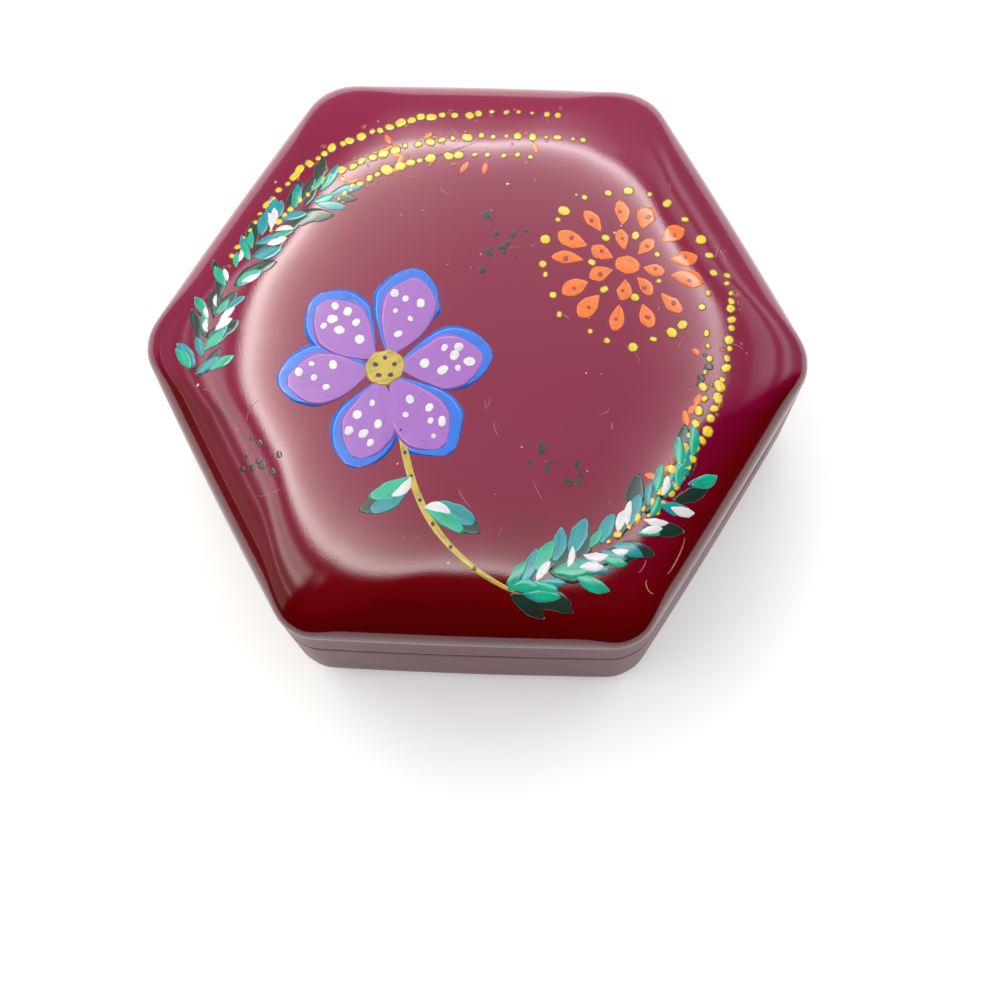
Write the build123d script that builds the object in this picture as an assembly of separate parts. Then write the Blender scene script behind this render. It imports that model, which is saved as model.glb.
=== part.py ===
from build123d import *
from math import cos, radians, sin, sqrt
import os

# Hexagonal pottery trinket box with a crowned lift-off lid.
# Millimetres. X runs from corner to corner, -Y is the front, +Z is up.
# The origin is the middle of the footprint, on the surface the box stands on.

# Plan of the rim
rim_across_flats = 92.0
rim_corner_radius = 7.0
rim_side_bow = 0.35

# Heights above the table
foot_height = 1.5
parting_height = 24.5
crown_spring_height = 33.5
overall_height = 44.0

# Clay thicknesses
wall_thickness = 4.0
floor_thickness = 4.0
crown_thickness = 4.5

# Roundings of the base, and of the two rims where base and lid meet
base_bottom_radius = 6.0
base_inner_radius = 2.5
rim_edge_radius = 0.4

# Crown of the lid
crown_fullness = 2.6
crown_corner_power = 6.0
crown_roundest = 0.93
crown_steps = 9
crown_last_angle = 85.0

# Foot ring
foot_inset = 9.0
foot_width = 5.0
foot_corner_radius = 6.0
foot_edge_radius = 0.5

# Locating flange inside the rim
flange_thickness = 2.6
flange_seat_depth = 6.5
flange_rise = 4.5
flange_clearance = 0.4
flange_edge_radius = 0.5
least_corner_radius = 0.6

half_width = rim_across_flats / 2
floor_top_height = foot_height + floor_thickness


def hexagon(apothem, corner_radius, height=0.0):
    """Hexagon with gently bowed sides and rounded corners, flat sides at front and back."""
    bow = rim_side_bow * apothem / half_width
    tip_radius = (apothem - bow) / cos(radians(30))
    tips = [Vector(tip_radius * cos(radians(60 * i)), tip_radius * sin(radians(60 * i))) for i in range(6)]
    sides = []
    for i in range(6):
        facing = radians(60 * i + 30)
        middle = Vector(apothem * cos(facing), apothem * sin(facing))
        sides.append(ThreePointArc(tips[i], middle, tips[(i + 1) % 6]))
    outline = make_face(sides)
    return Pos(0, 0, height) * fillet(outline.vertices(), corner_radius)


def inner_hexagon(inset, height=0.0):
    """Rim outline drawn in by an even inset, with corners on the same centres."""
    return hexagon(half_width - inset, max(rim_corner_radius - inset, least_corner_radius), height)


def prism(face, height):
    """Straight wall of the given plan, raised by a height."""
    return extrude(face, amount=height, dir=(0, 0, 1))


def crown(apothem, corner_radius, spring_height, top_height):
    """Pillow-shaped crown: its plan grows rounder as it rises from a steep edge to a flat middle."""
    rise = top_height - spring_height
    edge_roundness = corner_radius / apothem
    sections = []
    for step in range(crown_steps + 1):
        share = cos(radians(crown_last_angle * step / crown_steps))
        roundness = edge_roundness + (crown_roundest - edge_roundness) * (1 - share**crown_corner_power)
        height = spring_height + rise * sqrt(1 - share**crown_fullness)
        sections.append(hexagon(apothem * share, apothem * share * roundness, height))
    return loft(sections)


def make_base_shell():
    """Base: floor and wall pressed in one, with a softly rounded lower edge."""
    outside = prism(inner_hexagon(0, foot_height), parting_height - foot_height)
    outside = fillet(outside.edges().group_by(Axis.Z)[0], base_bottom_radius)
    outside = fillet(outside.edges().group_by(Axis.Z)[-1], rim_edge_radius)
    inside = prism(inner_hexagon(wall_thickness, floor_top_height), parting_height)
    inside = fillet(inside.edges().group_by(Axis.Z)[0], base_inner_radius)
    return outside - inside


def make_foot_ring():
    """Foot ring under the floor, the only part of the box that touches the table."""
    ring_outside = hexagon(half_width - foot_inset, foot_corner_radius)
    ring_inside = hexagon(half_width - foot_inset - foot_width, foot_corner_radius)
    ring = prism(ring_outside - ring_inside, foot_height)
    return fillet(ring.edges().group_by(Axis.Z)[0], foot_edge_radius)


def make_locating_flange():
    """Strip set inside the base wall that stands up into the lid and keeps it in place."""
    strip_inset = wall_thickness + flange_thickness
    seat_height = parting_height - flange_seat_depth
    seat = prism(inner_hexagon(wall_thickness, seat_height), flange_seat_depth)
    lip = prism(inner_hexagon(wall_thickness + flange_clearance, parting_height), flange_rise)
    lip = fillet(lip.edges().group_by(Axis.Z)[-1], flange_edge_radius)
    hollow = prism(inner_hexagon(strip_inset, seat_height), flange_seat_depth + flange_rise)
    strip = seat + lip - hollow
    lower_inner_edges = strip.faces().sort_by(Axis.Z)[0].inner_wires()[0].edges()
    return fillet(lower_inner_edges, flange_edge_radius)


def make_lid_shell():
    """Lid: short upright skirt and crowned top in one, hollow underneath."""
    skirt_height = crown_spring_height - parting_height
    outside = prism(inner_hexagon(0, parting_height), skirt_height)
    outside = fillet(outside.edges().group_by(Axis.Z)[0], rim_edge_radius)
    outside += crown(half_width, rim_corner_radius, crown_spring_height, overall_height)
    inner_top_height = overall_height - crown_thickness
    inner_spring_height = crown_spring_height - crown_thickness / 2
    inner_apothem = half_width - wall_thickness
    inner_corner_radius = rim_corner_radius - wall_thickness
    inside = prism(inner_hexagon(wall_thickness, parting_height), inner_spring_height - parting_height)
    inside += crown(inner_apothem, inner_corner_radius, inner_spring_height, inner_top_height)
    return outside - inside


parts = {
    "base_shell": make_base_shell(),
    "foot_ring": make_foot_ring(),
    "locating_flange": make_locating_flange(),
    "lid_shell": make_lid_shell(),
}

os.makedirs("parts", exist_ok=True)
for name, part in parts.items():
    export_step(part, f"parts/{name}.step")
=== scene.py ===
import math
import random
from functools import partial

import bpy
import numpy as np
from mathutils import Matrix, Vector


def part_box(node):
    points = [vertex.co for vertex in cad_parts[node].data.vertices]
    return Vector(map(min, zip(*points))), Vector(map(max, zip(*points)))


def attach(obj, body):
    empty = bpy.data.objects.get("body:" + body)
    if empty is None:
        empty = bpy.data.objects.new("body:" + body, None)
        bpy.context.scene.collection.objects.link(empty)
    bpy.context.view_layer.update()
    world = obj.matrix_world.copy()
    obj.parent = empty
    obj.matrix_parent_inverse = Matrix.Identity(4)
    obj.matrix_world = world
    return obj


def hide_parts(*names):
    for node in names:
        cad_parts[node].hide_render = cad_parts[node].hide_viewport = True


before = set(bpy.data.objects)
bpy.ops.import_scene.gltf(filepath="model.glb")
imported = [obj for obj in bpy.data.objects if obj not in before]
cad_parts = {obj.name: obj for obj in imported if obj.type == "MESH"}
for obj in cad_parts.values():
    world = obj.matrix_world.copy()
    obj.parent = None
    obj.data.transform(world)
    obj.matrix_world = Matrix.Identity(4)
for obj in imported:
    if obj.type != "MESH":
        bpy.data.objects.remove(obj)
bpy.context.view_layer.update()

MM = 0.001
SIDES = 6
HALF_SIDE_ANGLE = math.radians(30)

# Sizes read from the frame
BASE_LOW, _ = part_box("base_shell")
LID_LOW, LID_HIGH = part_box("lid_shell")
FLANGE_LOW, FLANGE_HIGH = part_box("locating_flange")
FOOT_LOW, FOOT_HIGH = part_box("foot_ring")
HALF_WIDTH = LID_HIGH.y
PARTING = LID_LOW.z
TOP = LID_HIGH.z

# Sizes that the clay was formed to
CORNER_RADIUS = 7.0 * MM
SIDE_BOW = 0.35 * MM
WALL = 4.0 * MM
FLOOR_THICKNESS = 4.0 * MM
CROWN_THICKNESS = 4.5 * MM
SKIRT_HEIGHT = 9.0 * MM
CROWN_SPRING = PARTING + SKIRT_HEIGHT
CROWN_FULLNESS = 2.6
CROWN_CORNER_POWER = 6.0
CROWN_ROUNDEST = 0.93
BOTTOM_RADIUS = 6.0 * MM
INNER_BOTTOM_RADIUS = 2.5 * MM
RIM_RADIUS = 0.45 * MM
FLANGE_THICKNESS = 2.6 * MM
FLANGE_CLEARANCE = 0.4 * MM
FLANGE_INNER_CORNER = 0.6 * MM
SOFT_EDGE = 0.5 * MM
FOOT_INSET = 9.0 * MM
FOOT_WIDTH = 5.0 * MM
FOOT_CORNER_RADIUS = 6.0 * MM

# How uneven the hand left the surface: depths, then the number of waves, the longest and the shortest
CROWN_RIPPLE = 0.016 * MM
WALL_RIPPLE = 0.08 * MM
RIM_WAVE = 0.10 * MM
CROWN_WAVES = (7, 46 * MM, 11 * MM)
UNDERSIDE_WAVES = (6, 30 * MM, 9 * MM)
WALL_WAVES = (6, 52 * MM, 13 * MM)
RIM_WAVES = (5, 60 * MM, 9 * MM)
CROWN_SEED, UNDERSIDE_SEED, LID_SEED, BASE_SEED = 4, 8, 3, 5

# How far the skins stay inside the clay's box, at the walls and below the paint
SKIN_MARGIN = 0.02 * MM
PAINT_ROOM = 0.12 * MM

# Camera of the photograph
CAMERA_PLACE = Vector((12.31, -88.37, 276.2)) * MM
CAMERA_AIM = Vector((3.64, -14.29, 0.0)) * MM
CAMERA_ROLL = math.radians(-4.66)
CAMERA_LENS = 59.35
SENSOR_WIDTH = 36.0


def shape_turns():
    """Directions round the box, closer together near the six corners."""
    steps = 18
    turns = []
    for side in range(SIDES):
        facing = 2 * HALF_SIDE_ANGLE * side + HALF_SIDE_ANGLE
        for step in range(-steps, steps):
            share = step / steps
            turns.append(facing + HALF_SIDE_ANGLE * (0.5 * share + 0.5 * math.sin(share * math.pi / 2)))
    return np.array(turns)


TURNS = shape_turns()


def hexagon_reach(turns, apothem, corner, bow):
    """Distance from the middle to a rounded hexagon with bowed sides, in each direction."""
    off_side = np.abs(turns % (2 * HALF_SIDE_ANGLE) - HALF_SIDE_ANGLE)
    to_corner = HALF_SIDE_ANGLE - off_side
    corner_middle = (apothem - corner) / math.cos(HALF_SIDE_ANGLE)
    flat_end = np.arctan2((apothem - corner) * math.tan(HALF_SIDE_ANGLE), apothem)
    under_root = np.maximum(corner**2 - (corner_middle * np.sin(to_corner)) ** 2, 0)
    on_corner = corner_middle * np.cos(to_corner) + np.sqrt(under_root)
    on_side = apothem / np.cos(off_side)
    drawn_in = bow * (np.tan(off_side) / math.tan(HALF_SIDE_ANGLE)) ** 2 / np.cos(off_side)
    return np.where(off_side <= flat_end, on_side, on_corner) - drawn_in


def crown_reach(turns, share, apothem=HALF_WIDTH, corner=CORNER_RADIUS):
    """Plan of the crown at a share of its width; it grows rounder towards the middle."""
    edge_roundness = corner / apothem
    roundness = edge_roundness + (CROWN_ROUNDEST - edge_roundness) * (1 - share**CROWN_CORNER_POWER)
    width = apothem * share
    return hexagon_reach(turns, width, width * roundness, SIDE_BOW * width / HALF_WIDTH)


def crown_rise(share):
    """Height of the crown above its spring, from 0 at the rim to 1 in the middle."""
    return np.sqrt(np.maximum(1 - share**CROWN_FULLNESS, 0))


def waves(x, y, seed, count, longest, shortest):
    """Smooth unevenness between -1 and 1, from a few waves of different lengths and directions."""
    draw = random.Random(seed)
    total = np.zeros_like(x)
    for i in range(count):
        length = longest * (shortest / longest) ** (i / max(count - 1, 1))
        heading = draw.uniform(0, math.tau)
        phase = draw.uniform(0, math.tau)
        total += np.sin((x * math.cos(heading) + y * math.sin(heading)) * math.tau / length + phase)
    return total / count


def crown_ripple(x, y, share):
    """Shallow hollows left on the crown by the hand, none at the rim or above the clay's box."""
    ripple = waves(x, y, CROWN_SEED, *CROWN_WAVES)
    return (CROWN_RIPPLE * (ripple - 1) - PAINT_ROOM) * (1 - share**8) - SKIN_MARGIN


def crown_share(x, y):
    """How far out a plan point lies on the crown: 0 in the middle, 1 at the rim."""
    turns = np.arctan2(y, x)
    reach = np.hypot(x, y)
    low = np.zeros_like(reach)
    high = np.ones_like(reach)
    for _ in range(36):
        middle = (low + high) / 2
        inside = crown_reach(turns, middle) > reach
        high = np.where(inside, middle, high)
        low = np.where(inside, low, middle)
    return (low + high) / 2


def crown_height(x, y, share=None):
    """Height of the crown's surface over plan points, whose shares are worked out if not given."""
    if share is None:
        share = crown_share(x, y)
    return CROWN_SPRING + (TOP - CROWN_SPRING) * crown_rise(share) + crown_ripple(x, y, share)


def crown_frame(x, y):
    """Points on the crown over plan points, and the directions that face out of it there."""
    step = 0.05 * MM
    z = crown_height(x, y)
    slope_x = (crown_height(x + step, y) - crown_height(x - step, y)) / (2 * step)
    slope_y = (crown_height(x, y + step) - crown_height(x, y - step)) / (2 * step)
    out = np.stack([-slope_x, -slope_y, np.ones_like(x)], axis=-1)
    out /= np.linalg.norm(out, axis=-1, keepdims=True)
    return np.stack([x, y, z], axis=-1), out


def new_object(name, vertices, faces, materials, face_materials=None):
    """Smooth shaded piece from its points and faces."""
    mesh = bpy.data.meshes.new(name)
    mesh.from_pydata([tuple(v) for v in vertices], [], faces)
    for material in materials:
        mesh.materials.append(material)
    if face_materials is not None:
        mesh.polygons.foreach_set("material_index", face_materials)
    mesh.polygons.foreach_set("use_smooth", [True] * len(mesh.polygons))
    mesh.update()
    piece = bpy.data.objects.new(name, mesh)
    bpy.context.scene.collection.objects.link(piece)
    return piece


def skin(name, rings, materials, ring_materials, ends):
    """Closed skin through rings of points. Its ends are capped, or joined to each other."""
    count = len(TURNS)
    vertices = [point for ring in rings for point in ring]
    faces = []
    face_materials = []
    spans = len(rings) if ends == "joined" else len(rings) - 1
    for span in range(spans):
        here = span * count
        there = (span + 1) % len(rings) * count
        for i in range(count):
            j = (i + 1) % count
            faces.append((here + i, here + j, there + j, there + i))
            face_materials.append(ring_materials[span])
    if ends == "capped":
        for ring, order in ((0, -1), (len(rings) - 1, 1)):
            middle = len(vertices)
            vertices.append(np.mean(rings[ring], axis=0))
            for i in range(count):
                edge = (ring * count + i, ring * count + (i + 1) % count)
                faces.append((*edge[::order], middle))
                face_materials.append(ring_materials[min(ring, spans - 1)])
    return new_object(name, vertices, faces, materials, face_materials)


def wall_ring(apothem, corner, height, ripple=0.0, wave=0.0, seed=1):
    """Ring of points at one height of an upright wall."""
    reach = hexagon_reach(TURNS, apothem, corner, SIDE_BOW * apothem / HALF_WIDTH)
    x = reach * np.cos(TURNS)
    y = reach * np.sin(TURNS)
    if ripple:
        dent = ripple * (waves(x + height, y - height, seed, *WALL_WAVES) - 1) / 2
        x = x * (1 + dent / reach)
        y = y * (1 + dent / reach)
    z = np.full_like(x, height)
    if wave:
        z = z + wave * waves(x, y, seed + 10, *RIM_WAVES)
    return np.stack([x, y, z], axis=-1)


def outside_ring(height, seed, inset=0.0, wave=0.0):
    """Ring of the outer wall, drawn in by an inset."""
    apothem = HALF_WIDTH - SKIN_MARGIN - inset
    return wall_ring(apothem, CORNER_RADIUS - inset, height, WALL_RIPPLE, wave, seed)


def inside_ring(height, inset=0.0, wave=0.0, seed=1):
    """Ring of the inner wall, let out by an inset."""
    return wall_ring(HALF_WIDTH - WALL + inset, CORNER_RADIUS - WALL + inset, height, 0.0, wave, seed)


def crown_ring(share, outer):
    """Ring of points on the outside or the inside of the crown."""
    if outer:
        reach = crown_reach(TURNS, share)
    else:
        reach = crown_reach(TURNS, share, HALF_WIDTH - WALL, CORNER_RADIUS - WALL)
    x = reach * np.cos(TURNS)
    y = reach * np.sin(TURNS)
    if outer:
        z = crown_height(x, y, share)
    else:
        spring = CROWN_SPRING - CROWN_THICKNESS / 2
        z = np.full_like(x, spring + (TOP - CROWN_THICKNESS - spring) * crown_rise(share))
        z = z + CROWN_RIPPLE * waves(x, y, UNDERSIDE_SEED, *UNDERSIDE_WAVES)
    return np.stack([x, y, z], axis=-1)


# Half width of a flat floor's smallest ring, and the corners of its rings: their share of the width,
# and the largest inside the box
INNERMOST = 2 * MM
FLOOR_ROUNDNESS = 0.9
INSIDE_FLOOR_CORNER = 1.5 * MM
# Least corner of the rounded lower edge, and how much the corners inside tighten towards the floor
LEAST_CORNER = 1.0 * MM
INSIDE_TIGHTENING = 0.8
# Up to which turn of the rounding the glaze is thin on the two rims, and the clay bare under the base
THIN_ON_LID = math.pi / 4
THIN_ON_BASE = 0.8
BARE_BELOW = 0.3


def quarter_turns(count):
    """Even steps of a quarter turn, with both its ends."""
    return [math.pi / 2 * i / count for i in range(count + 1)]


def lid_rings():
    """Rings of the lid and their glazes, from under its middle over the rim to the top of the crown."""
    glaze_top, glaze_in, rim, glaze_out = 0, 1, 2, 3
    rings = []
    for turn in np.linspace(86, 4, 26):
        rings.append((crown_ring(math.cos(math.radians(turn)), outer=False), glaze_in))
    for share in np.linspace(1, 0, 6)[:-1]:
        height = PARTING + RIM_RADIUS + (CROWN_SPRING - CROWN_THICKNESS / 2 - PARTING - RIM_RADIUS) * share
        rings.append((inside_ring(height), glaze_in))
    for turn in quarter_turns(3):
        inset = RIM_RADIUS * (1 - math.cos(turn))
        height = PARTING + RIM_RADIUS * (1 - math.sin(turn)) + RIM_WAVE
        rings.append((inside_ring(height, inset, RIM_WAVE, LID_SEED), rim))
    for turn in quarter_turns(4):
        inset = RIM_RADIUS * (1 - math.sin(turn))
        height = PARTING + RIM_RADIUS * (1 - math.cos(turn)) + RIM_WAVE
        kind = rim if turn < THIN_ON_LID else glaze_out
        rings.append((outside_ring(height, LID_SEED, inset, RIM_WAVE), kind))
    for share in np.linspace(0, 1, 10)[1:-1]:
        height = PARTING + RIM_RADIUS + (CROWN_SPRING - PARTING - RIM_RADIUS) * share
        rings.append((outside_ring(height, LID_SEED), glaze_out))
    for turn in np.linspace(0, 88, 56):
        rings.append((crown_ring(math.cos(math.radians(turn)), outer=True), glaze_top))
    return rings


def base_rings():
    """Rings of the base and their glazes, from under its middle over the rim down to its floor."""
    glaze_out, glaze_in, rim, bare = 0, 1, 2, 3
    rings = []
    bottom = BASE_LOW.z
    floor = bottom + FLOOR_THICKNESS
    for width in np.linspace(INNERMOST, HALF_WIDTH - BOTTOM_RADIUS, 16)[:-1]:
        rings.append((wall_ring(width, min(CORNER_RADIUS, width * FLOOR_ROUNDNESS), bottom), bare))
    for turn in quarter_turns(12):
        inset = BOTTOM_RADIUS * (1 - math.sin(turn))
        corner = max(CORNER_RADIUS - inset, LEAST_CORNER)
        height = bottom + BOTTOM_RADIUS * (1 - math.cos(turn))
        ripple = WALL_RIPPLE * math.sin(turn)
        ring = wall_ring(HALF_WIDTH - SKIN_MARGIN - inset, corner, height, ripple, 0.0, BASE_SEED)
        rings.append((ring, bare if turn < BARE_BELOW else glaze_out))
    top = PARTING - RIM_RADIUS
    for share in np.linspace(0, 1, 12)[1:]:
        height = bottom + BOTTOM_RADIUS + (top - bottom - BOTTOM_RADIUS) * share
        rings.append((outside_ring(height, BASE_SEED), glaze_out))
    for turn in quarter_turns(4)[1:]:
        inset = RIM_RADIUS * (1 - math.cos(turn))
        height = top + RIM_RADIUS * math.sin(turn)
        rings.append((outside_ring(height, BASE_SEED, inset), rim))
    inner = HALF_WIDTH - WALL
    for turn in quarter_turns(3):
        inset = RIM_RADIUS * (1 - math.sin(turn))
        height = PARTING - RIM_RADIUS * (1 - math.cos(turn))
        rings.append((inside_ring(height, inset), rim if turn < THIN_ON_BASE else glaze_in))
    for share in np.linspace(0, 1, 8)[1:]:
        height = PARTING - RIM_RADIUS + (floor + INNER_BOTTOM_RADIUS - PARTING + RIM_RADIUS) * share
        rings.append((inside_ring(height), glaze_in))
    for turn in quarter_turns(6)[1:]:
        inset = INNER_BOTTOM_RADIUS * (1 - math.cos(turn))
        height = floor + INNER_BOTTOM_RADIUS * (1 - math.sin(turn))
        corner = CORNER_RADIUS - WALL - inset * INSIDE_TIGHTENING
        rings.append((wall_ring(inner - inset, corner, height), glaze_in))
    for width in np.linspace(inner - INNER_BOTTOM_RADIUS, INNERMOST, 14)[1:]:
        rings.append((wall_ring(width, min(INSIDE_FLOOR_CORNER, width * FLOOR_ROUNDNESS), floor), glaze_in))
    return rings


def flange_rings():
    """Locating flange: a strip with a seat against the base wall and a lip inside the lid."""
    edge = SOFT_EDGE
    outer = HALF_WIDTH - WALL
    inner = outer - FLANGE_THICKNESS
    lip = outer - FLANGE_CLEARANCE
    wall_corner = CORNER_RADIUS - WALL
    rings = [wall_ring(outer, wall_corner, FLANGE_LOW.z), wall_ring(outer, wall_corner, PARTING)]
    for height in np.linspace(PARTING, FLANGE_HIGH.z - edge, 5):
        rings.append(wall_ring(lip, wall_corner - FLANGE_CLEARANCE, height))
    for turn in quarter_turns(4)[1:]:
        inset = edge * (1 - math.cos(turn))
        height = FLANGE_HIGH.z - edge * (1 - math.sin(turn))
        rings.append(wall_ring(lip - inset, wall_corner - FLANGE_CLEARANCE - inset, height))
    for turn in quarter_turns(4):
        inset = edge * (1 - math.sin(turn))
        height = FLANGE_HIGH.z - edge * (1 - math.cos(turn))
        rings.append(wall_ring(inner + inset, FLANGE_INNER_CORNER + inset, height))
    for height in np.linspace(FLANGE_HIGH.z - edge, FLANGE_LOW.z + edge, 8)[1:]:
        rings.append(wall_ring(inner, FLANGE_INNER_CORNER, height))
    for turn in quarter_turns(4)[1:]:
        inset = edge * (1 - math.cos(turn))
        height = FLANGE_LOW.z + edge * (1 - math.sin(turn))
        rings.append(wall_ring(inner + inset, FLANGE_INNER_CORNER + inset, height))
    return rings


def foot_rings():
    """Foot ring with softened lower edges."""
    edge = SOFT_EDGE
    outer = HALF_WIDTH - FOOT_INSET
    inner = outer - FOOT_WIDTH
    corner = FOOT_CORNER_RADIUS
    rings = [wall_ring(inner, corner, FOOT_HIGH.z)]
    for turn in quarter_turns(4):
        inset = edge * (1 - math.cos(turn))
        rings.append(wall_ring(inner + inset, corner, FOOT_LOW.z + edge * (1 - math.sin(turn))))
    for turn in quarter_turns(4):
        inset = edge * (1 - math.sin(turn))
        rings.append(wall_ring(outer - inset, corner, FOOT_LOW.z + edge * (1 - math.cos(turn))))
    rings.append(wall_ring(outer, corner, FOOT_HIGH.z))
    return rings


def linear(red, green, blue):
    """Colour as written on a 0 to 255 scale, as the shader takes it."""
    def channel(value):
        value /= 255
        return value / 12.92 if value <= 0.04045 else ((value + 0.055) / 1.055) ** 2.4
    return (channel(red), channel(green), channel(blue), 1.0)


def new_material(name):
    material = bpy.data.materials.new(name)
    material.use_nodes = True
    tree = material.node_tree
    return material, tree, tree.nodes["Principled BSDF"]


def set_inputs(node, values):
    """Give a node's inputs their values, by name."""
    for name, value in values.items():
        node.inputs[name].default_value = value


def noise(tree, scale, detail, roughness=0.5):
    """Noise on the piece's own coordinates, in features per metre."""
    place = tree.nodes.new("ShaderNodeTexCoord")
    texture = tree.nodes.new("ShaderNodeTexNoise")
    set_inputs(texture, {"Scale": scale, "Detail": detail, "Roughness": roughness})
    tree.links.new(place.outputs["Object"], texture.inputs["Vector"])
    return texture.outputs["Fac"]


def ramp(tree, source, stops):
    """Colours along a value; stops are (value, colour)."""
    node = tree.nodes.new("ShaderNodeValToRGB")
    elements = node.color_ramp.elements
    while len(elements) < len(stops):
        elements.new(0.5)
    for element, (at, colour) in zip(elements, stops):
        element.position = at
        element.color = colour
    tree.links.new(source, node.inputs["Fac"])
    return node.outputs["Color"]


def spread(tree, source, low, high, to_low, to_high):
    """A value brought from one span to another, and held at its ends."""
    node = tree.nodes.new("ShaderNodeMapRange")
    set_inputs(node, {"From Min": low, "From Max": high, "To Min": to_low, "To Max": to_high})
    tree.links.new(source, node.inputs["Value"])
    return node.outputs["Result"]


def calc(tree, operation, *values):
    """One sum; each value is a number or another sum."""
    node = tree.nodes.new("ShaderNodeMath")
    node.operation = operation
    for socket, value in zip(node.inputs, values):
        if isinstance(value, (int, float)):
            socket.default_value = value
        else:
            tree.links.new(value, socket)
    return node.outputs["Value"]


def bump(tree, source, strength, distance, over=None):
    """Normals of a fine relief, on their own or over those of a coarser one."""
    node = tree.nodes.new("ShaderNodeBump")
    set_inputs(node, {"Strength": strength, "Distance": distance})
    tree.links.new(source, node.inputs["Height"])
    if over is not None:
        tree.links.new(over, node.inputs["Normal"])
    return node.outputs["Normal"]


# Share of the crown's clear coat that the walls carry, and share of its colour kept at its steep edge,
# where the colour is darkened as painted shade
WALL_COAT = 0.42
EDGE_SHADE = 0.72
COAT_IOR = 1.6
PAINT_GLOSS = 0.07
# Tint and spread of the haze in the glaze
HAZE_TINT = (1.0, 0.08, 0.16, 1.0)
HAZE_ROUGHNESS = (0.20, 0.26)
# Upward part of the facing where the crown's painted shade and light from front to back, its coat and its
# painted edge shade begin, and where each is complete
CROWN_FACING = (0.1, 0.6)
COAT_FACING = (0.0, 0.35)
EDGE_FACING = (0.0, 0.3)
# Features per metre of the mottled colour, the rubbed haze, the soft pull and the fine grain
MOTTLE, RUBBED, PULL, GRAIN = 130, 420, 300, 4000
# Strength and depth of the pull and of the grain
PULL_RELIEF = (0.03, 0.02 * MM)
GRAIN_RELIEF = (0.28, 0.016 * MM)


def glaze(name, shaded_tones, gloss, haze=0.17, wall_coat=None):
    """Wine red glaze with painted shade and light, with a broad haze in it and a clear coat on top.

    Its four tones are its colours where the crown slopes steeply and gently to the front, where it is
    level,
    and where it slopes back: painted shade to the front and painted light to the back. Without a wall_coat,
    the coat changes over the crown's edge, and the colour darkens there as painted shade.
    """
    material, tree, shader = new_material(name)
    place = tree.nodes.new("ShaderNodeTexCoord")
    axes = tree.nodes.new("ShaderNodeSeparateXYZ")
    tree.links.new(place.outputs["Normal"], axes.inputs["Vector"])
    mottle = noise(tree, MOTTLE, detail=5, roughness=0.6)
    uneven = spread(tree, mottle, 0.3, 0.7, -0.05, 0.05)
    # Painted shade and light: the colour darkens where the crown faces the front and lightens where it
    # faces back
    on_crown = spread(tree, axes.outputs["Z"], *CROWN_FACING, 0, 1)
    tilted = calc(tree, "ADD", calc(tree, "MULTIPLY", axes.outputs["Y"], on_crown), uneven)
    facing = spread(tree, tilted, -0.5, 0.5, 0, 1)
    front, part_way, level, back = shaded_tones
    stops = [(0.05, front), (0.22, part_way), (0.40, level), (0.62, level), (0.95, back)]
    colour = ramp(tree, facing, stops)
    # Painted shade: the colour darkens where the crown turns steeply down at its edge
    if wall_coat is None:
        edge_shaded = tree.nodes.new("ShaderNodeVectorMath")
        edge_shaded.operation = "SCALE"
        tree.links.new(colour, edge_shaded.inputs["Vector"])
        edge_shade = spread(tree, axes.outputs["Z"], *EDGE_FACING, EDGE_SHADE, 1.0)
        tree.links.new(edge_shade, edge_shaded.inputs["Scale"])
        colour = edge_shaded.outputs["Vector"]
    tree.links.new(colour, shader.inputs["Base Color"])
    rubbed = noise(tree, RUBBED, detail=3)
    tree.links.new(spread(tree, rubbed, 0.3, 0.7, *HAZE_ROUGHNESS), shader.inputs["Roughness"])
    grain = noise(tree, GRAIN, detail=2)
    pull = noise(tree, PULL, detail=3)
    soft = bump(tree, pull, *PULL_RELIEF)
    fine = bump(tree, grain, *GRAIN_RELIEF, soft)
    tree.links.new(fine, shader.inputs["Normal"])
    tree.links.new(fine, shader.inputs["Coat Normal"])
    set_inputs(shader, {"Specular Tint": HAZE_TINT, "Specular IOR Level": haze})
    set_inputs(shader, {"Coat Roughness": gloss, "Coat IOR": COAT_IOR})
    if wall_coat is None:
        coat = spread(tree, axes.outputs["Z"], *COAT_FACING, WALL_COAT, 1.0)
        tree.links.new(coat, shader.inputs["Coat Weight"])
    else:
        shader.inputs["Coat Weight"].default_value = wall_coat
    return material


# Features per metre of the clay's colour and of its grog, and the grog's strength and depth
CLAY_BODY, GROG = 900, 2600
GROG_RELIEF = (0.5, 0.08 * MM)


def fired_clay(name, dark, light):
    """Matt clay with fine grog in it."""
    material, tree, shader = new_material(name)
    body = noise(tree, CLAY_BODY, detail=6, roughness=0.7)
    tree.links.new(ramp(tree, body, [(0.25, dark), (0.6, light)]), shader.inputs["Base Color"])
    grog = noise(tree, GROG, detail=4, roughness=0.7)
    tree.links.new(spread(tree, grog, 0.3, 0.7, 0.75, 0.95), shader.inputs["Roughness"])
    tree.links.new(bump(tree, grog, *GROG_RELIEF), shader.inputs["Normal"])
    return material


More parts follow.
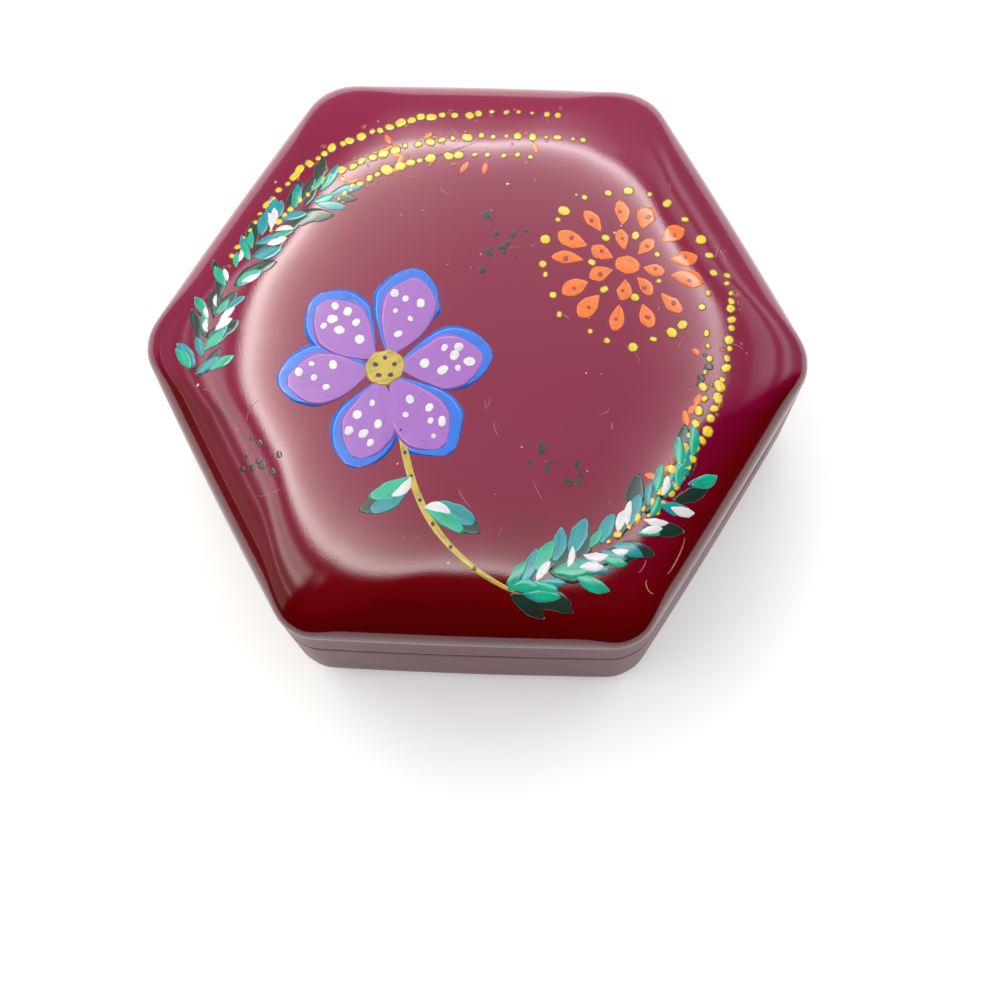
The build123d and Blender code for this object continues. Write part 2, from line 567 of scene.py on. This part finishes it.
def make_box_pieces():
    """The four clay pieces in their glazes."""
    # Painted shade and light: the crown's tones run from darker where it faces the front to lighter where
    # it faces back
    wine_shaded_tones = [(0.108, 0.0006, 0.001, 1), (0.146, 0.0008, 0.004, 1), (0.206, 0.0012, 0.037, 1),
                   (0.245, 0.0012, 0.047, 1)]
    wine = glaze("wine_glaze", wine_shaded_tones, 0.045)
    wall_tones = [(0.158, 0.003, 0.021, 1)] * 4
    wine_wall = glaze("wine_glaze_wall", wall_tones, 0.06, haze=0.0, wall_coat=WALL_COAT)
    # Painted shade and light inside too: darker where the glaze faces the front, lighter where it faces
    # back
    inside_shaded_tones = [linear(92, 6, 14), linear(97, 8, 17), linear(102, 9, 20), linear(112, 14, 26)]
    wine_inside = glaze("wine_glaze_inside", inside_shaded_tones, 0.22, wall_coat=1.0)
    bare = fired_clay("bare_clay", linear(150, 92, 62), linear(186, 128, 92))
    thin_rim = fired_clay("thin_glaze_rim", linear(70, 16, 18), linear(128, 60, 46))
    rings, kinds = zip(*lid_rings())
    lid = skin("lid_shell_glazed", rings, [wine, wine_inside, thin_rim, wine_wall], kinds, "capped")
    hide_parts("lid_shell")
    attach(lid, "lid")
    rings, kinds = zip(*base_rings())
    base = skin("base_shell_glazed", rings, [wine_wall, wine_inside, thin_rim, bare], kinds, "capped")
    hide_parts("base_shell")
    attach(base, "base")
    rings = flange_rings()
    flange = skin("locating_flange_clay", rings, [bare], [0] * len(rings), "joined")
    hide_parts("locating_flange")
    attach(flange, "base")
    rings = foot_rings()
    foot = skin("foot_ring_clay", rings, [bare], [0] * len(rings), "joined")
    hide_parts("foot_ring")
    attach(foot, "base")


# Streaks left by a brush, in features per metre across it, their share of that along it, and the
# features per metre of its load of paint
BRISTLES = 1900
STREAK_STRETCH = 0.22
PAINT_LOAD = 330


def paint(name, colour, worn, coat=True):
    """Hand-laid paint, streaked along each stroke, under the same clear gloss as the glaze."""
    material, tree, shader = new_material(name)
    place = tree.nodes.new("ShaderNodeAttribute")
    place.attribute_name = STROKE_PLACE
    mapping = tree.nodes.new("ShaderNodeMapping")
    mapping.inputs["Scale"].default_value = (STREAK_STRETCH, 1.0, 1.0)
    tree.links.new(place.outputs["Vector"], mapping.inputs["Vector"])
    streaks = tree.nodes.new("ShaderNodeTexNoise")
    set_inputs(streaks, {"Scale": BRISTLES, "Detail": 4, "Roughness": 0.6})
    tree.links.new(mapping.outputs["Vector"], streaks.inputs["Vector"])
    load = noise(tree, PAINT_LOAD, detail=3)
    laid = calc(tree, "ADD", calc(tree, "MULTIPLY", streaks.outputs["Fac"], 0.6),
                calc(tree, "MULTIPLY", load, 0.4))
    tree.links.new(ramp(tree, laid, [(0.30, worn), (0.52, colour)]), shader.inputs["Base Color"])
    tree.links.new(spread(tree, laid, 0.3, 0.7, 0.5, 0.34), shader.inputs["Roughness"])
    tree.links.new(bump(tree, laid, 0.06, 0.02 * MM), shader.inputs["Normal"])
    if coat:
        tree.links.new(bump(tree, laid, 0.05, 0.01 * MM), shader.inputs["Coat Normal"])
        set_inputs(shader, {"Coat Weight": 1.0, "Coat Roughness": PAINT_GLOSS, "Coat IOR": COAT_IOR})
        shader.inputs["Specular IOR Level"].default_value = 0.2
    return material


# Section of a paint stroke: place across it from -1 to 1, and share of its height.
# The first and last points lie under the crown's surface. Both ends of a stroke are lower.
STROKE_SECTION = [(-1, None), (-1, 0.2), (-0.85, 0.72), (-0.5, 0.95), (0, 1), (0.5, 0.95), (0.85, 0.72),
                  (1, 0.2), (1, None)]
BURIED = -0.06
STROKE_END_HEIGHT = 0.35
# Each point keeps its place along and across its stroke, and the strokes lie apart in it
STROKES_APART = 9 * MM
STROKE_PLACE = "stroke_place"


def strokes(name, material, shapes, lift=0.0):
    """Closed raised strokes of paint on the crown.

    Each shape is a spine of plan points, a half width at each and a height, in millimetres.
    """
    plan, lifts, sizes, places = [], [], [], []
    for number, (spine, widths, height) in enumerate(shapes):
        along = np.gradient(spine, axis=0)
        travelled = np.cumsum(np.linalg.norm(along, axis=1))
        along /= np.linalg.norm(along, axis=1, keepdims=True)
        left = np.stack([-along[:, 1], along[:, 0]], axis=1)
        for station in range(len(spine)):
            fullness = STROKE_END_HEIGHT if station in (0, len(spine) - 1) else 1.0
            for across, share in STROKE_SECTION:
                aside = widths[station] * across
                plan.append(spine[station] + left[station] * widths[station] * across)
                lifts.append(BURIED if share is None else lift + height * share * fullness)
                places.append((travelled[station] * MM, aside * MM, number * STROKES_APART))
        sizes.append(len(spine))
    plan = np.array(plan) * MM
    points, out = crown_frame(plan[:, 0], plan[:, 1])
    vertices = points + out * np.array(lifts)[:, None] * MM
    count = len(STROKE_SECTION)
    faces = []
    start = 0
    for stations in sizes:
        for station in range(stations - 1):
            here = start + station * count
            for i in range(count):
                j = (i + 1) % count
                faces.append((here + i, here + count + i, here + count + j, here + j))
        last = start + (stations - 1) * count
        faces.append(tuple(range(start, start + count)))
        faces.append(tuple(range(last + count - 1, last - 1, -1)))
        start += stations * count
    piece = new_object(name, vertices, faces, [material])
    kept = piece.data.attributes.new(STROKE_PLACE, "FLOAT_VECTOR", "POINT")
    kept.data.foreach_set("vector", np.array(places).ravel())
    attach(piece, "lid")


def turned(heading):
    """Direction on the plan at an angle from +X."""
    return np.array([math.cos(heading), math.sin(heading)])


def curve(ends, handles, count):
    """Points along a curve from one end to the other."""
    share = np.linspace(0, 1, count)[:, None]
    first, last = (np.array(point, float) for point in ends)
    near, far = (np.array(point, float) for point in handles)
    rest = 1 - share
    return first * rest**3 + 3 * near * rest**2 * share + 3 * far * rest * share**2 + last * share**3


def dot(place, radius, height, draw):
    """Round dab left by the tip of a brush, a little longer one way than the other."""
    heading = draw.uniform(0, math.pi)
    longer = draw.uniform(1.0, 1.4)
    turns = np.linspace(math.pi - 0.25, 0.25, 8)
    spine = np.array(place) + np.cos(turns)[:, None] * turned(heading) * radius * longer
    widths = np.sin(turns) * radius * np.array([draw.uniform(0.88, 1.12) for _ in turns])
    return spine, widths, height


# Length from which a dab is made with more points
LONG_DAB = 9


def dab(place, heading, length, width, height, bend=0.0, blunt=0.5):
    """Leaf-shaped brush dab from its root along a heading; blunt moves its widest point outwards."""
    share = np.linspace(0.01, 0.99, 13 if length < LONG_DAB else 41)
    side = turned(heading + math.pi / 2)
    spine = np.array(place) + share[:, None] * length * turned(heading)
    spine = spine + (share * (1 - share))[:, None] * bend * 4 * side
    widths = width * np.sin(math.pi * share ** (0.5 + blunt)) ** 0.75
    return spine, widths, height


def line(points, width, height=0.04):
    """Thin stroke along given points, pointed at both ends."""
    share = np.linspace(0, 1, len(points))
    return points, width * (0.25 + 0.75 * np.sin(math.pi * share) ** 0.5), height


# How much further the edge reaches than its dot, and its height
HALO_WIDER = 0.14
HALO_HEIGHT = 0.025


def halo(shape):
    """Thin darker edge of paint round a dot."""
    spine, widths, _ = shape
    middle = spine.mean(axis=0)
    out = spine - middle
    reach = np.linalg.norm(out, axis=1, keepdims=True)
    spine = spine + out / np.maximum(reach, 0.01) * HALO_WIDER * (reach / reach.max())
    return spine, widths + HALO_WIDER, HALO_HEIGHT


def ragged(shape, draw, by=0.08):
    """The same stroke with a slightly uneven edge."""
    spine, widths, height = shape
    knots = [draw.uniform(1 - by, 1 + by) for _ in range(9)]
    return spine, widths * np.interp(np.linspace(0, 8, len(widths)), range(9), knots), height


def add(shapes, shape, furthest=0.93):
    """Keep a stroke only where all of it lies on the crown, clear of the rim."""
    spine = shape[0] * MM
    if crown_share(spine[:, 0], spine[:, 1]).max() < furthest:
        shapes.append(shape)


PAINT_SEED = 21
# Places on the lid's plan, in millimetres. A petal's dots are placed along it and aside.
FLOWER = np.array([-13.0, -6.0])
FLOWER_PETALS = 6
PETAL_DOTS = [(4.4, 0.2), (6.6, -1.3), (7.2, 1.5), (9.2, -1.8), (9.4, 0.2), (9.9, 2.0), (11.5, -0.6)]
PETAL_DOT_CHANCE = 0.85
ROSETTE = np.array([23.0, 12.0])


def paint_flower(draw):
    """Flower with rimmed and dotted petals, and its stem."""
    blue = paint("blue_paint", (0.002, 0.15, 0.72, 1), (0.006, 0.09, 0.50, 1))
    violet = paint("violet_paint", (0.34, 0.125, 0.50, 1), (0.29, 0.10, 0.45, 1))
    white = paint("white_paint", (0.76, 0.76, 0.76, 1), (0.58, 0.50, 0.62, 1))
    ochre = paint("ochre_paint", (0.56, 0.42, 0.045, 1), (0.30, 0.17, 0.03, 1))
    dark = paint("dark_paint", (0.010, 0.012, 0.009, 1), (0.02, 0.014, 0.012, 1))
    rims, petals, dots = [], [], []
    for k in range(FLOWER_PETALS):
        heading = math.radians(60 * k + 12) + draw.uniform(-0.08, 0.08)
        length = draw.uniform(12.2, 13.8)
        root = FLOWER + turned(heading) * 1.6
        off = turned(heading + math.pi / 2) * draw.uniform(-0.5, 0.5)
        width = draw.uniform(4.0, 4.6)
        rim = dab(root + off, heading, length + 1.5, width + 0.95, 0.045, blunt=0.9)
        rims.append(ragged(rim, draw, 0.05))
        bend = draw.uniform(-0.5, 0.5)
        petals.append(ragged(dab(root, heading, length, width, 0.03, bend, blunt=0.85), draw, 0.05))
        for reach, aside in PETAL_DOTS:
            if draw.random() < PETAL_DOT_CHANCE:
                reach += draw.uniform(-0.5, 0.5)
                aside += draw.uniform(-0.5, 0.5)
                place = root + turned(heading) * reach + turned(heading + math.pi / 2) * aside
                dots.append(dot(place, draw.uniform(0.34, 0.74), 0.035, draw))
    strokes("petal_rims_blue", blue, rims)
    strokes("petals_violet", violet, petals, lift=0.035)
    strokes("petal_dots_white", white, dots, lift=0.055)
    stem = curve((FLOWER + (1.2, -2.6), (8.0, -39.0)), ((-9, -17), (-10, -32)), 30)
    strokes("stem_ochre", ochre, [ragged(line(stem, 0.55), draw)])
    strokes("flower_heart_ochre", ochre, [dot(FLOWER, 2.7, 0.04, draw)], lift=0.06)
    specks = [dot(FLOWER + turned(math.radians(72 * k + 20)) * 1.5, 0.34, 0.03, draw) for k in range(5)]
    strokes("heart_dots_dark", dark, specks, lift=0.095)
    beads = [dot(stem[i], 0.28, 0.03, draw) for i in range(7, len(stem) - 2, 3)]
    strokes("stem_dots_dark", dark, beads, lift=0.03)
    return white, dark, stem


def paint_rosette(draw):
    """Two rings of dabs with beads round them."""
    orange = paint("orange_paint", (0.84, 0.17, 0.003, 1), (0.62, 0.085, 0.004, 1))
    russet = paint("russet_paint", (0.34, 0.03, 0.006, 1), (0.24, 0.015, 0.006, 1))
    yellow = paint("yellow_paint", (0.86, 0.60, 0.010, 1), (0.62, 0.36, 0.012, 1))
    umber = paint("umber_paint", (0.16, 0.085, 0.012, 1), (0.12, 0.03, 0.010, 1))
    dabs, spots, beads = [dot(ROSETTE, 1.5, 0.045, draw)], [], []
    for count, inner, length, width in ((7, 2.4, 3.7, 1.15), (13, 6.7, 4.8, 1.35)):
        for k in range(count):
            heading = math.tau * (k + 0.5 * (count > 7)) / count + draw.uniform(-0.07, 0.07)
            long = length * draw.uniform(0.85, 1.12)
            wide = width * draw.uniform(0.8, 1.15)
            bend = draw.uniform(-0.4, 0.4)
            root = ROSETTE + turned(heading) * inner
            dabs.append(ragged(dab(root, heading, long, wide, 0.045, bend, 0.8), draw))
            place = ROSETTE + turned(heading) * (inner + long * 0.55)
            spots.append(dot(place, draw.uniform(0.24, 0.42), 0.03, draw))
    for k in range(24):
        heading = math.tau * k / 24 + draw.uniform(-0.08, 0.08)
        place = ROSETTE + turned(heading) * draw.uniform(12.5, 13.5)
        beads.append(dot(place, draw.uniform(0.3, 0.75), 0.05, draw))
    for k in range(7):
        heading = math.tau * (k + 0.5) / 7
        place = ROSETTE + turned(heading) * draw.uniform(4.9, 5.7)
        beads.append(dot(place, draw.uniform(0.3, 0.55), 0.05, draw))
    strokes("rosette_dabs_orange", orange, dabs)
    strokes("rosette_spots_russet", russet, spots, lift=0.035)
    strokes("rosette_halos_umber", umber, [halo(bead) for bead in beads])
    strokes("rosette_beads_yellow", yellow, beads, lift=0.025)
    return orange, russet, yellow, umber


# Share of the crown's width that the garlands' dabs stay inside
GARLAND_DABS_END = 0.80


def paint_garland(draw, orange, russet, yellow, umber):
    """Lines of dots along the back and down the right side, with a few dabs among them."""
    arcs = [curve(((-38, 13), (12, 38.5)), ((-31, 32), (-14, 40)), 36),
            curve(((-32, 17), (16, 34)), ((-25, 31), (-4, 35)), 30),
            curve(((-22, 22), (8, 30)), ((-17, 28), (-6, 31)), 18),
            curve(((38.5, 12), (27, -27)), ((41, 0), (36, -17)), 27),
            curve(((35.5, 2), (21, -31)), ((36, -12), (30, -24)), 20)]
    beads, halos, dabs, spots = [], [], [], []
    for path in arcs:
        for i, place in enumerate(path):
            away = turned(draw.uniform(0, math.tau)) * draw.uniform(0, 0.45)
            fade = 0.5 + 0.5 * math.sin(math.pi * i / (len(path) - 1))
            bead = dot(place + away, draw.uniform(0.36, 0.86) * fade, 0.04, draw)
            add(beads, bead)
            add(halos, halo(bead))
            if draw.random() < 0.3:
                heading = draw.uniform(0, math.tau)
                long = draw.uniform(1.3, 2.6)
                wide = draw.uniform(0.4, 0.6)
                add(dabs, dab(place + turned(heading) * 1.4, heading, long, wide, 0.04), GARLAND_DABS_END)
            if draw.random() < 0.5:
                apart = turned(draw.uniform(0, math.tau)) * draw.uniform(1.0, 2.0)
                add(spots, dot(place + apart, draw.uniform(0.2, 0.42), 0.035, draw))
    strokes("garland_halos_umber", umber, halos)
    strokes("garland_beads_yellow", yellow, beads, lift=0.025)
    strokes("garland_dabs_orange", orange, dabs)
    strokes("garland_spots_russet", russet, spots)


# Layers of a spray's dabs, from the lowest: colour, share of their full length, and chance of each
SPRAY_LAYERS = [("pine", 1.15, 0.75), ("teal", 1.0, 0.72), ("green", 0.9, 0.62), ("white", 0.62, 0.5)]
# Layers of a leaf on the stem: colour, size, and turn from the leaf's heading
STEM_LEAF_LAYERS = [("pine", 1.12, 0.0), ("teal", 1.0, 0.12), ("green", 0.85, -0.15), ("white", 0.5, 0.2)]
# Groups of speckles: middle, reach and number
SPECKLES = [((3, 15), 5.5, 14), ((-31, -20), 5.0, 10), ((36, -4), 3.0, 6), ((12, -19), 6.0, 13)]


def paint_leaves(draw, white, dark, flower_stem):
    """Two sprays of overlapping brush dabs, and two leaves on the flower's stem."""
    teal = paint("teal_paint", (0.006, 0.30, 0.34, 1), (0.003, 0.15, 0.19, 1))
    green = paint("green_paint", (0.004, 0.44, 0.27, 1), (0.003, 0.20, 0.12, 1))
    pine = paint("pine_paint", (0.004, 0.035, 0.022, 1), (0.02, 0.012, 0.010, 1))
    kinds = {layer: [] for layer, _, _ in SPRAY_LAYERS}
    stems = [(curve(((-42, -6), (-25, 23)), ((-40, 6), (-35, 17)), 14), 4.6),
             (curve(((6, -39), (34, -19)), ((14, -36), (27, -29)), 14), 5.4)]
    for stem, size in stems:
        for i, place in enumerate(stem):
            ahead = stem[min(i + 1, len(stem) - 1)] - stem[max(i - 1, 0)]
            heading = math.atan2(ahead[1], ahead[0])
            for side in (-1, 1):
                for layer, share, chance in SPRAY_LAYERS:
                    if draw.random() < chance and (layer != "white" or 1 < i < len(stem) - 3):
                        turn = heading + side * draw.uniform(0.3, 0.95)
                        root = place + turned(turn) * draw.uniform(0, 2.0)
                        root = root + turned(draw.uniform(0, math.tau)) * 0.7
                        long = size * share * draw.uniform(0.7, 1.2)
                        wide = long * draw.uniform(0.15, 0.22)
                        bend = draw.uniform(-0.4, 0.4)
                        add(kinds[layer], ragged(dab(root, turn, long, wide, 0.04, bend, 0.6), draw, 0.12))
    for at, heading in ((13, math.radians(215)), (17, math.radians(338))):
        for layer, size, aside in STEM_LEAF_LAYERS:
            shape = dab(flower_stem[at], heading + aside, 8.2 * size, 1.5 * size, 0.04, 0.6, 0.6)
            kinds[layer].append(ragged(shape, draw, 0.12))
    strokes("leaf_dabs_pine", pine, kinds["pine"])
    strokes("leaf_dabs_teal", teal, kinds["teal"], lift=0.025)
    strokes("leaf_dabs_green", green, kinds["green"], lift=0.045)
    strokes("leaf_dabs_white", white, kinds["white"], lift=0.065)
    specks = []
    for middle, spread_out, count in SPECKLES:
        for _ in range(count):
            place = np.array(middle) + turned(draw.uniform(0, math.tau)) * draw.uniform(0.5, spread_out)
            specks.append(dot(place, draw.uniform(0.24, 0.6), 0.035, draw))
    strokes("speckles_dark", dark, specks)


# Longer handling marks: both ends on the plan, how far they bow, and half their width
MARKS = [((32.4, -29.3), (29.9, -34.8), 0.10, 0.10), ((27.0, -36.0), (28.0, -37.8), -0.35, 0.09),
         ((26.6, -33.2), (25.6, -35.0), 0.2, 0.05), ((-15.9, 26.0), (-9.0, 25.0), 0.15, 0.05),
         ((-6.0, 24.0), (-4.2, 22.6), -0.2, 0.05), ((36.5, 17.0), (38.2, 14.4), 0.2, 0.07),
         ((19.0, -12.0), (20.6, -11.2), -0.3, 0.05), ((-33.5, -14.0), (-31.6, -11.0), 0.25, 0.05)]
HAIRLINES = [((-16.8, 26.6), (-11.9, 28.3), 0.05, 0.045), ((-12.6, 27.6), (-1.0, 32.6), -0.03, 0.06),
             ((-20.6, 27.4), (-15.0, 29.2), 0.06, 0.04)]
# Height and furthest share of the crown of the longer marks, and how many small ones there are
MARK_HEIGHT = 0.012
MARKS_END = 0.965
SCRATCHES, CHIPS = 46, 60


def bowed(first, last, bow, count):
    """Path between two points that bows aside by a share of its length."""
    side = np.array((first[1] - last[1], last[0] - first[0])) * bow
    return curve((first, last), (np.array(first) + side, np.array(last) + side), count)


def add_wear(draw):
    """Scratches, hairlines and chips that years of handling left on the lid."""
    scratch = paint("scratched_glaze", (0.42, 0.17, 0.15, 1), (0.24, 0.05, 0.05, 1), coat=False)
    chip = paint("chipped_glaze", (0.62, 0.50, 0.44, 1), (0.45, 0.26, 0.18, 1), coat=False)
    lines, chips = [], []
    for first, last, bow, width in MARKS:
        add(lines, line(bowed(first, last, bow, 15), width, MARK_HEIGHT), MARKS_END)
    for _ in range(SCRATCHES):
        place = turned(draw.uniform(0, math.tau)) * 43 * math.sqrt(draw.uniform(0.02, 1)) * (0.95, 0.93)
        heading = draw.uniform(0, math.tau)
        long = draw.choice((0.8, 1.0, 1.4, 2.2, 3.6))
        bend = long * draw.uniform(-0.25, 0.25)
        end = place + turned(heading) * long
        side = turned(heading + math.pi / 2) * bend
        path = curve((place, end), (place + side, end + side), 7)
        add(lines, line(path, draw.uniform(0.03, 0.07), MARK_HEIGHT))
    for _ in range(CHIPS):
        place = turned(draw.uniform(0, math.tau)) * 44 * math.sqrt(draw.uniform(0.05, 1))
        add(chips, dot(place, draw.choice((0.07, 0.09, 0.12, 0.2)), 0.03, draw))
    grazed = paint("grazed_glaze", (0.06, 0.012, 0.012, 1), (0.10, 0.02, 0.02, 1), coat=False)
    grazes = []
    for first, last, bow, width in HAIRLINES:
        grazes.append(ragged(line(bowed(first, last, bow, 21), width, MARK_HEIGHT), draw, 0.4))
    strokes("hairlines_dark", grazed, grazes, lift=0.004)
    strokes("scratches_pale", scratch, lines, lift=0.004)
    strokes("chips_pale", chip, chips)


def paint_lid():
    """All the paint and wear on the lid, from one series of random draws."""
    draw = random.Random(PAINT_SEED)
    white, dark, stem = paint_flower(draw)
    paint_garland(draw, *paint_rosette(draw))
    paint_leaves(draw, white, dark, stem)
    add_wear(draw)


# The studio overhead. Places in it are given as (across, along): distance over height, seen from the lid.
HOOD_MIDDLE = (-0.02, 0.46)
HOOD_HALF_ACROSS = 0.02
HOOD_HALF_ALONG = 0.14

# Lowest height taken, the most that the tables of brightness hold, and the level of all the light
LOWEST = 0.03
BRIGHTEST = 10.0
REACH_DRAWN = 4.4
LEVEL = 0.72

# Share of its light that the hood gives in the middle, how that changes across and along, from where
# and how much its far and its left side give more, and the least and the most
HOOD_SHARE = 0.95
HOOD_TILT = (-0.45, 0.4)
FAR_SIDE = (0.5, 0.6)
LEFT_SIDE = (-0.15, 0.5)
SHARE_LIMITS = (0.6, 1.9)

# Inside its bright edge it glows towards its left, back and right: from where, and how much.
# Towards its left end it is a little warmer.
GLOW_FROM = (-0.05, 0.30, 0.24)
GLOW = (2.2, 1.4, 2.2)
HOOD_EDGE = (0.60, 0.70)
WARM_ACROSS = (-0.05, -0.45)
HOOD_WARMTH = 0.09

# Where each side of the studio begins, and where it is complete
LEFTWARDS = (-0.3, -0.6)
RIGHTWARDS = (0.15, 0.45)
BEHIND = (0.9, 1.2)
# Front ends of the left wall and the far corner, and the corner's back end: slope, and where it fades
WALL_END_LEFT = (0.68, -0.03, 0.02)
WALL_END_RIGHT = (0.20, -0.10, 0.15)
WALL_END_FAR = (1.25, 0.25, 0.75)

# Brightness at each distance from the middle of the hood: the hood itself, and outside it the left
# wall, the far corner to the right, what lies past it, the far end at the left, and the wall behind
HOOD = [(0, 1.2), (0.32, 1.3), (0.42, 1.7), (0.48, 2.2), (0.54, 3.2), (0.59, 5.0), (0.64, 8.8),
        (0.67, 8.4), (0.70, 1.6), (0.73, 0)]
LEFT_WALL = [(0.70, 0), (0.76, 0.6), (0.80, 0.6), (0.825, 3.6), (0.90, 3.0), (0.955, 4.4), (1.01, 4.4),
             (1.06, 1.2), (1.11, 0.7), (1.21, 0.7), (1.255, 1.1), (1.28, 2.7), (1.31, 2.6), (1.34, 0.9),
             (1.50, 0.5), (1.9, 0.75), (2.9, 0.6), (3.05, 1.5), (3.25, 1.5), (3.4, 0.1)]
FAR_CORNER = [(0.70, 0), (0.74, 0.6), (0.88, 0.55), (0.93, 1.3), (1.02, 1.75), (1.13, 1.8), (1.18, 2.2),
              (1.23, 1.7), (1.28, 0.7), (1.45, 0.6), (1.52, 0.9), (1.62, 1.9), (1.85, 2.3), (2.05, 2.0),
              (2.4, 0.9), (3.0, 0.65), (4.2, 0.55)]
PAST_CORNER = [(0.70, 0), (0.78, 1.2), (1.0, 1.1), (1.3, 0.95), (1.8, 0.8), (4.2, 0.6)]
FAR_LEFT = [(0.70, 0), (0.74, 1.6), (0.80, 0.9), (1.0, 0.6), (4.2, 0.5)]
BACK_WALL = [(0.68, 0), (0.74, 4.8), (0.82, 3.9), (0.97, 2.2), (1.22, 1.8), (1.62, 1.0), (2.3, 0.75),
             (4.2, 0.6)]


def make_world():
    """Studio seen only in the gloss and as light; behind the box the camera sees plain white."""
    world = bpy.data.worlds.new("studio")
    bpy.context.scene.world = world
    world.use_nodes = True
    tree = world.node_tree
    background = tree.nodes["Background"]
    plus, minus, times, over, larger, smaller, power, size, root = (
        partial(calc, tree, operation) for operation in
        ("ADD", "SUBTRACT", "MULTIPLY", "DIVIDE", "MAXIMUM", "MINIMUM", "POWER", "ABSOLUTE", "SQRT"))

    def between(source, ends, to_low=0, to_high=1):
        return spread(tree, source, *ends, to_low, to_high)

    def beyond_end(wall_end):
        return minus(along, times(across, wall_end[0]))

    def drawn(stops):
        stops = [(at / REACH_DRAWN, (value / BRIGHTEST,) * 3 + (1,)) for at, value in stops]
        return times(ramp(tree, share, stops), BRIGHTEST)

    place = tree.nodes.new("ShaderNodeTexCoord")
    axes = tree.nodes.new("ShaderNodeSeparateXYZ")
    tree.links.new(place.outputs["Generated"], axes.inputs["Vector"])
    height = larger(axes.outputs["Z"], LOWEST)
    across = over(axes.outputs["X"], height)
    along = over(axes.outputs["Y"], height)
    off_middle = size(minus(across, HOOD_MIDDLE[0]))
    out_across = larger(minus(off_middle, HOOD_HALF_ACROSS), 0)
    off_middle = size(minus(along, HOOD_MIDDLE[1]))
    out_along = larger(minus(off_middle, HOOD_HALF_ALONG), 0)
    squares = plus(power(out_across, 2), power(out_along, 2))
    share = over(root(squares), REACH_DRAWN)

    leftwards = between(across, LEFTWARDS)
    rightwards = between(across, RIGHTWARDS)
    behind = between(along, BEHIND)
    beside_back = minus(1, behind)
    past_left_end = beyond_end(WALL_END_LEFT)
    past_right_end = beyond_end(WALL_END_RIGHT)
    at_left = times(leftwards, between(past_left_end, WALL_END_LEFT[1:]))
    at_left = times(at_left, beside_back)
    past_far_end = beyond_end(WALL_END_FAR)
    in_corner = times(rightwards, between(past_right_end, WALL_END_RIGHT[1:]))
    in_corner = times(in_corner, between(past_far_end, WALL_END_FAR[1:], 1, 0))
    past_corner = between(past_far_end, WALL_END_FAR[1:])
    past_corner = times(rightwards, past_corner)
    at_back = times(behind, minus(1, larger(leftwards, rightwards)))
    far_left = times(leftwards, behind)
    tilt = plus(times(along, HOOD_TILT[1]), times(across, HOOD_TILT[0]))
    far_side = times(larger(minus(along, FAR_SIDE[0]), 0), FAR_SIDE[1])
    left_side = times(larger(minus(LEFT_SIDE[0], across), 0), LEFT_SIDE[1])
    tilt = plus(tilt, plus(far_side, left_side))
    least, most = SHARE_LIMITS
    strongest = smaller(larger(plus(tilt, HOOD_SHARE), least), most)

    further_back = larger(minus(along, GLOW_FROM[1]), 0)
    further_left = larger(minus(GLOW_FROM[0], across), 0)
    further_right = larger(minus(across, GLOW_FROM[2]), 0)
    glow = plus(times(further_back, GLOW[1]), times(further_left, GLOW[0]))
    glow = plus(glow, times(further_right, GLOW[2]))
    in_hood = between(share, [edge / REACH_DRAWN for edge in HOOD_EDGE], 1, 0)
    light = plus(times(drawn(HOOD), strongest), times(glow, in_hood))
    for stops, where in ((LEFT_WALL, at_left), (FAR_LEFT, far_left), (FAR_CORNER, in_corner),
                         (PAST_CORNER, past_corner), (BACK_WALL, at_back)):
        light = plus(light, times(drawn(stops), where))
    path = tree.nodes.new("ShaderNodeLightPath")
    seen = path.outputs["Is Camera Ray"]
    unseen = minus(1, seen)
    light = times(times(light, LEVEL), unseen)
    tree.links.new(plus(light, seen), background.inputs["Strength"])
    warm = times(between(across, WARM_ACROSS, 0, HOOD_WARMTH), in_hood)
    colour = tree.nodes.new("ShaderNodeCombineColor")
    set_inputs(colour, {"Red": 1.0, "Green": 1.0})
    tree.links.new(minus(1, times(warm, unseen)), colour.inputs["Blue"])
    tree.links.new(colour.outputs["Color"], background.inputs["Color"])


# Metres from the middle of the white table to its sides, its colour, and how much it shines itself
FLOOR_REACH = 4.0
FLOOR_COLOUR = (0.85, 0.85, 0.85, 1)
FLOOR_WHITENING = 0.30


def make_floor():
    """White table that the box stands on."""
    corners = [(x * FLOOR_REACH, y * FLOOR_REACH, 0) for x, y in ((-1, -1), (1, -1), (1, 1), (-1, 1))]
    material, tree, shader = new_material("pale_floor")
    set_inputs(shader, {"Base Color": FLOOR_COLOUR, "Roughness": 0.6, "Emission Color": (1, 1, 1, 1)})
    path = tree.nodes.new("ShaderNodeLightPath")
    seen = calc(tree, "MAXIMUM", path.outputs["Is Camera Ray"], path.outputs["Is Glossy Ray"])
    tree.links.new(calc(tree, "MULTIPLY", seen, FLOOR_WHITENING), shader.inputs["Emission Strength"])
    floor = new_object("floor", corners, [(0, 1, 2, 3)], [material])


def make_camera():
    """The photograph's camera, a little turned about its view."""
    camera = bpy.data.cameras.new("camera")
    camera.lens = CAMERA_LENS
    camera.sensor_width = SENSOR_WIDTH
    camera.clip_start = 0.01
    camera.dof.use_dof = False
    holder = bpy.data.objects.new("camera", camera)
    look = (CAMERA_AIM - CAMERA_PLACE).normalized()
    level = look.cross(Vector((0, 0, 1))).normalized()
    right = level * math.cos(CAMERA_ROLL) + level.cross(look) * math.sin(CAMERA_ROLL)
    up = right.cross(look)
    rotation = Matrix((right, up, -look)).transposed()
    holder.matrix_world = Matrix.Translation(CAMERA_PLACE) @ rotation.to_4x4()
    bpy.context.scene.collection.objects.link(holder)
    bpy.context.scene.camera = holder


for name in ("Cube", "Light", "Camera"):
    if name in bpy.data.objects:
        bpy.data.objects.remove(bpy.data.objects[name])
bpy.context.scene.view_settings.view_transform = "Standard"
make_box_pieces()
paint_lid()
make_floor()
make_world()
make_camera()
